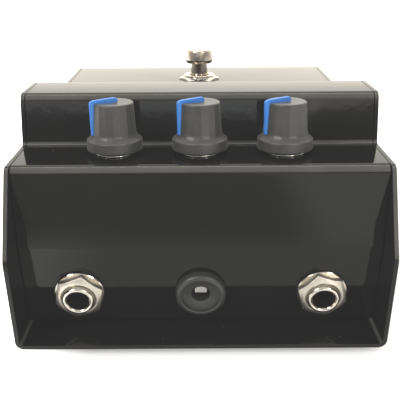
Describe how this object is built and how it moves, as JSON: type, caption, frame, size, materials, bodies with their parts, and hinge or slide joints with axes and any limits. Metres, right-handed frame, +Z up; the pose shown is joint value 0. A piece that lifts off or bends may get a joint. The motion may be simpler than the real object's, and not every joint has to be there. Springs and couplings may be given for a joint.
{
  "type": "guitar effects pedal",
  "caption": "Stepped folded-steel guitar effects pedal with turning controls on a shelf, rear quarter-inch jacks, a power socket and a sprung footswitch.",
  "frame": {"origin": "middle of the case's footprint, on the surface that the rubber feet rest on", "axes": "+Z up; -Y is the rear, where the jacks are; +Y is the player's side, where the footswitch is; +X is to the right when looking at the jacks"},
  "size_m": [0.106, 0.1444, 0.0726],
  "materials": {
    "black_gloss_paint": "gloss",
    "screw_steel": "zinc plated",
    "foot_rubber": "matt",
    "board_laminate": "solder mask",
    "white_nylon": "satin",
    "component_black": "matt",
    "component_coat": "dipped",
    "wire_insulation": "satin",
    "socket_plastic": "satin",
    "contact_nickel": "polished",
    "switch_plastic": "satin",
    "bright_nickel": "polished",
    "contact_brass": "satin",
    "spring_steel": "satin",
    "can_steel": "plated",
    "phenolic_board": "matt",
    "shaft_aluminium": "turned",
    "knob_grey": "soft touch",
    "pointer_blue": "satin"
  },
  "bodies": {
    "case": {"chassis_tray": "black_gloss_paint", "top_cover": "black_gloss_paint", "case_screws": "screw_steel", "rubber_feet": "foot_rubber", "circuit_board": "board_laminate", "board_standoffs": "white_nylon", "board_screws": "screw_steel", "amplifier_chips": "component_black", "electrolytic_capacitors": "component_black", "film_capacitors": "component_coat", "resistors": "component_coat", "wire_headers": "white_nylon", "internal_wiring": "wire_insulation", "dc_socket_housing": "socket_plastic", "dc_socket_nut": "socket_plastic", "dc_socket_pin": "contact_nickel", "dc_socket_spring": "contact_nickel", "footswitch_housing": "switch_plastic", "footswitch_bushing": "bright_nickel", "footswitch_terminals": "contact_brass", "footswitch_back_nut": "bright_nickel", "footswitch_washer": "bright_nickel", "footswitch_nut": "bright_nickel", "footswitch_spring": "spring_steel", "pot_bushing_left": "bright_nickel", "pot_can_left": "can_steel", "pot_terminals_left": "phenolic_board", "pot_washer_left": "bright_nickel", "pot_nut_left": "bright_nickel", "pot_bushing_middle": "bright_nickel", "pot_can_middle": "can_steel", "pot_terminals_middle": "phenolic_board", "pot_washer_middle": "bright_nickel", "pot_nut_middle": "bright_nickel", "pot_bushing_right": "bright_nickel", "pot_can_right": "can_steel", "pot_terminals_right": "phenolic_board", "pot_washer_right": "bright_nickel", "pot_nut_right": "bright_nickel", "jack_frame_left": "bright_nickel", "jack_insulator_left": "phenolic_board", "jack_spring_left": "contact_brass", "jack_washer_left": "bright_nickel", "jack_nut_left": "bright_nickel", "jack_frame_right": "bright_nickel", "jack_insulator_right": "phenolic_board", "jack_spring_right": "contact_brass", "jack_washer_right": "bright_nickel", "jack_nut_right": "bright_nickel"},
    "control_left": {"pot_shaft_left": "shaft_aluminium", "knob_left": "knob_grey", "knob_pointer_left": "pointer_blue"},
    "control_middle": {"pot_shaft_middle": "shaft_aluminium", "knob_middle": "knob_grey", "knob_pointer_middle": "pointer_blue"},
    "control_right": {"pot_shaft_right": "shaft_aluminium", "knob_right": "knob_grey", "knob_pointer_right": "pointer_blue"},
    "footswitch": {"footswitch_plunger": "bright_nickel"}
  },
  "joints": [
    {"name": "left_knob_turn", "type": "hinge", "parent": "case", "child": "control_left", "pos_m": [-0.0244, -0.04741, 0.055], "axis": [0, 0, 1], "range_deg": [-84, 216]},
    {"name": "middle_knob_turn", "type": "hinge", "parent": "case", "child": "control_middle", "pos_m": [0, -0.04741, 0.055], "axis": [0, 0, 1], "range_deg": [-84, 216]},
    {"name": "right_knob_turn", "type": "hinge", "parent": "case", "child": "control_right", "pos_m": [0.0244, -0.04741, 0.055], "axis": [0, 0, 1], "range_deg": [-84, 216]},
    {"name": "footswitch_press", "type": "slide", "parent": "case", "child": "footswitch", "axis": [0, 0, -1], "range_m": [0, 0.003], "stiffness_N_per_m": 1500, "springref_m": -0.002, "deforming": ["footswitch_spring"]}
  ]
}
